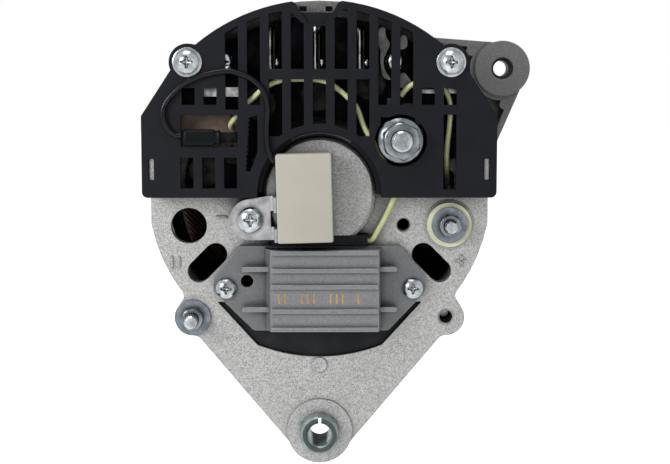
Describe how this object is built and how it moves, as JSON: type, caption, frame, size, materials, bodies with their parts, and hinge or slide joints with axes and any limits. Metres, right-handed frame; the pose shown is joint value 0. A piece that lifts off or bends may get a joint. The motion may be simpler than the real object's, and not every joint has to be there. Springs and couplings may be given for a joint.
{
  "type": "engine alternator",
  "caption": "Belt-driven engine alternator with a claw-pole rotor, slotted rear cover, ribbed regulator, split-bush pivot lug and adjuster ear.",
  "frame": {"origin": "on the pivot bolt axis, at the inner (rearward) face of the front pivot lug", "axes": "+Y along the pivot bolt and the shaft, towards the pulley; +Z from the pivot up through the shaft axis; +X to the adjuster ear's side"},
  "size_m": [0.1591, 0.1658, 0.1812],
  "materials": {
    "sand_cast_aluminium": "shot-blasted",
    "dull_cast_aluminium": "satin",
    "cast_regulator": "satin",
    "black_plastic": "moulded satin",
    "zinc_steel": "bright zinc plate",
    "stator_steel": "stacked laminations",
    "rotor_steel": "machined",
    "pressed_steel": "zinc plate",
    "bearing_steel": "ground",
    "cage_brass": "pressed",
    "seal_rubber": "matt",
    "enamelled_copper": "varnished",
    "slip_copper": "polished",
    "brush_carbon": "pressed carbon",
    "spring_steel": "bright",
    "beige_resin": "smooth",
    "grey_lead": "smooth",
    "green_sleeve": "smooth",
    "plate_aluminium": "rolled",
    "diode_metal": "nickel plate",
    "black_resin": "moulded",
    "brown_board": "laminated resin",
    "tinned_wire": "tinned",
    "yellow_lead": "smooth",
    "insulator_resin": "moulded"
  },
  "bodies": {
    "housing": {"rear_bracket": "sand_cast_aluminium", "front_bracket": "dull_cast_aluminium", "stator_core": "stator_steel", "stator_winding": "enamelled_copper", "through_bolts": "zinc_steel", "rear_cover": "black_plastic", "cover_screws": "zinc_steel", "regulator_body": "cast_regulator", "regulator_screws": "zinc_steel", "brush_holder": "black_plastic", "inner_brush_spring": "spring_steel", "outer_brush_spring": "spring_steel", "capacitor_case": "beige_resin", "capacitor_bracket": "zinc_steel", "capacitor_screw": "zinc_steel", "capacitor_lead": "grey_lead", "lead_connector": "green_sleeve", "spade_terminal": "zinc_steel", "positive_heatsink": "plate_aluminium", "negative_heatsink": "plate_aluminium", "heatsink_spacers": "black_plastic", "heatsink_screws": "zinc_steel", "power_diodes": "diode_metal", "exciter_diodes": "black_resin", "terminal_board": "brown_board", "phase_leads": "tinned_wire", "b_plus_stud": "zinc_steel", "b_plus_nut": "zinc_steel", "d_plus_stud": "zinc_steel", "d_plus_insulator": "insulator_resin", "m5_washers": "zinc_steel", "m5_nuts": "zinc_steel", "regulator_wire": "yellow_lead", "d_plus_wire": "yellow_lead", "bearing_retainer": "pressed_steel", "retainer_screws": "zinc_steel", "front_outer_ring": "bearing_steel", "front_seals": "seal_rubber", "rear_outer_ring": "bearing_steel"},
    "rotor": {"rotor_shaft": "rotor_steel", "front_pole": "rotor_steel", "rear_pole": "rotor_steel", "field_winding": "enamelled_copper", "slip_rings": "slip_copper", "fan": "pressed_steel", "fan_spacer": "rotor_steel", "pulley_rear_half": "pressed_steel", "pulley_shims": "pressed_steel", "pulley_front_half": "pressed_steel", "pulley_nut": "zinc_steel", "pulley_key": "rotor_steel", "front_inner_ring": "bearing_steel", "rear_inner_ring": "bearing_steel"},
    "front_cage": {"front_balls": "bearing_steel", "front_ball_cage": "cage_brass"},
    "rear_cage": {"rear_balls": "bearing_steel", "rear_ball_cage": "cage_brass"},
    "inner_brush": {"inner_brush": "brush_carbon"},
    "outer_brush": {"outer_brush": "brush_carbon"},
    "bush": {"pivot_bush": "zinc_steel"}
  },
  "joints": [
    {"name": "rotor_spin", "type": "hinge", "parent": "housing", "child": "rotor", "pos_m": [0, 0, 0.095], "axis": [0, 1, 0], "continuous": true},
    {"name": "front_cage_spin", "type": "hinge", "parent": "housing", "child": "front_cage", "pos_m": [0, 0.006, 0.095], "axis": [0, 1, 0], "continuous": true},
    {"name": "rear_cage_spin", "type": "hinge", "parent": "housing", "child": "rear_cage", "pos_m": [0, -0.077, 0.095], "axis": [0, 1, 0], "continuous": true},
    {"name": "inner_brush_slide", "type": "slide", "parent": "housing", "child": "inner_brush", "axis": [0, 0, -1], "range_m": [0, 0.006], "stiffness_N_per_m": 100, "springref_m": -0.02, "deforming": ["inner_brush_spring"]},
    {"name": "outer_brush_slide", "type": "slide", "parent": "housing", "child": "outer_brush", "axis": [0, 0, -1], "range_m": [0, 0.006], "stiffness_N_per_m": 100, "springref_m": -0.02, "deforming": ["outer_brush_spring"]},
    {"name": "bush_slide", "type": "slide", "parent": "housing", "child": "bush", "axis": [0, -1, 0], "range_m": [-0.003, 0.003]}
  ],
  "couplings": [
    {"joint": "front_cage_spin", "follows": "rotor_spin", "ratio": 0.3656},
    {"joint": "rear_cage_spin", "follows": "rotor_spin", "ratio": 0.3682}
  ]
}
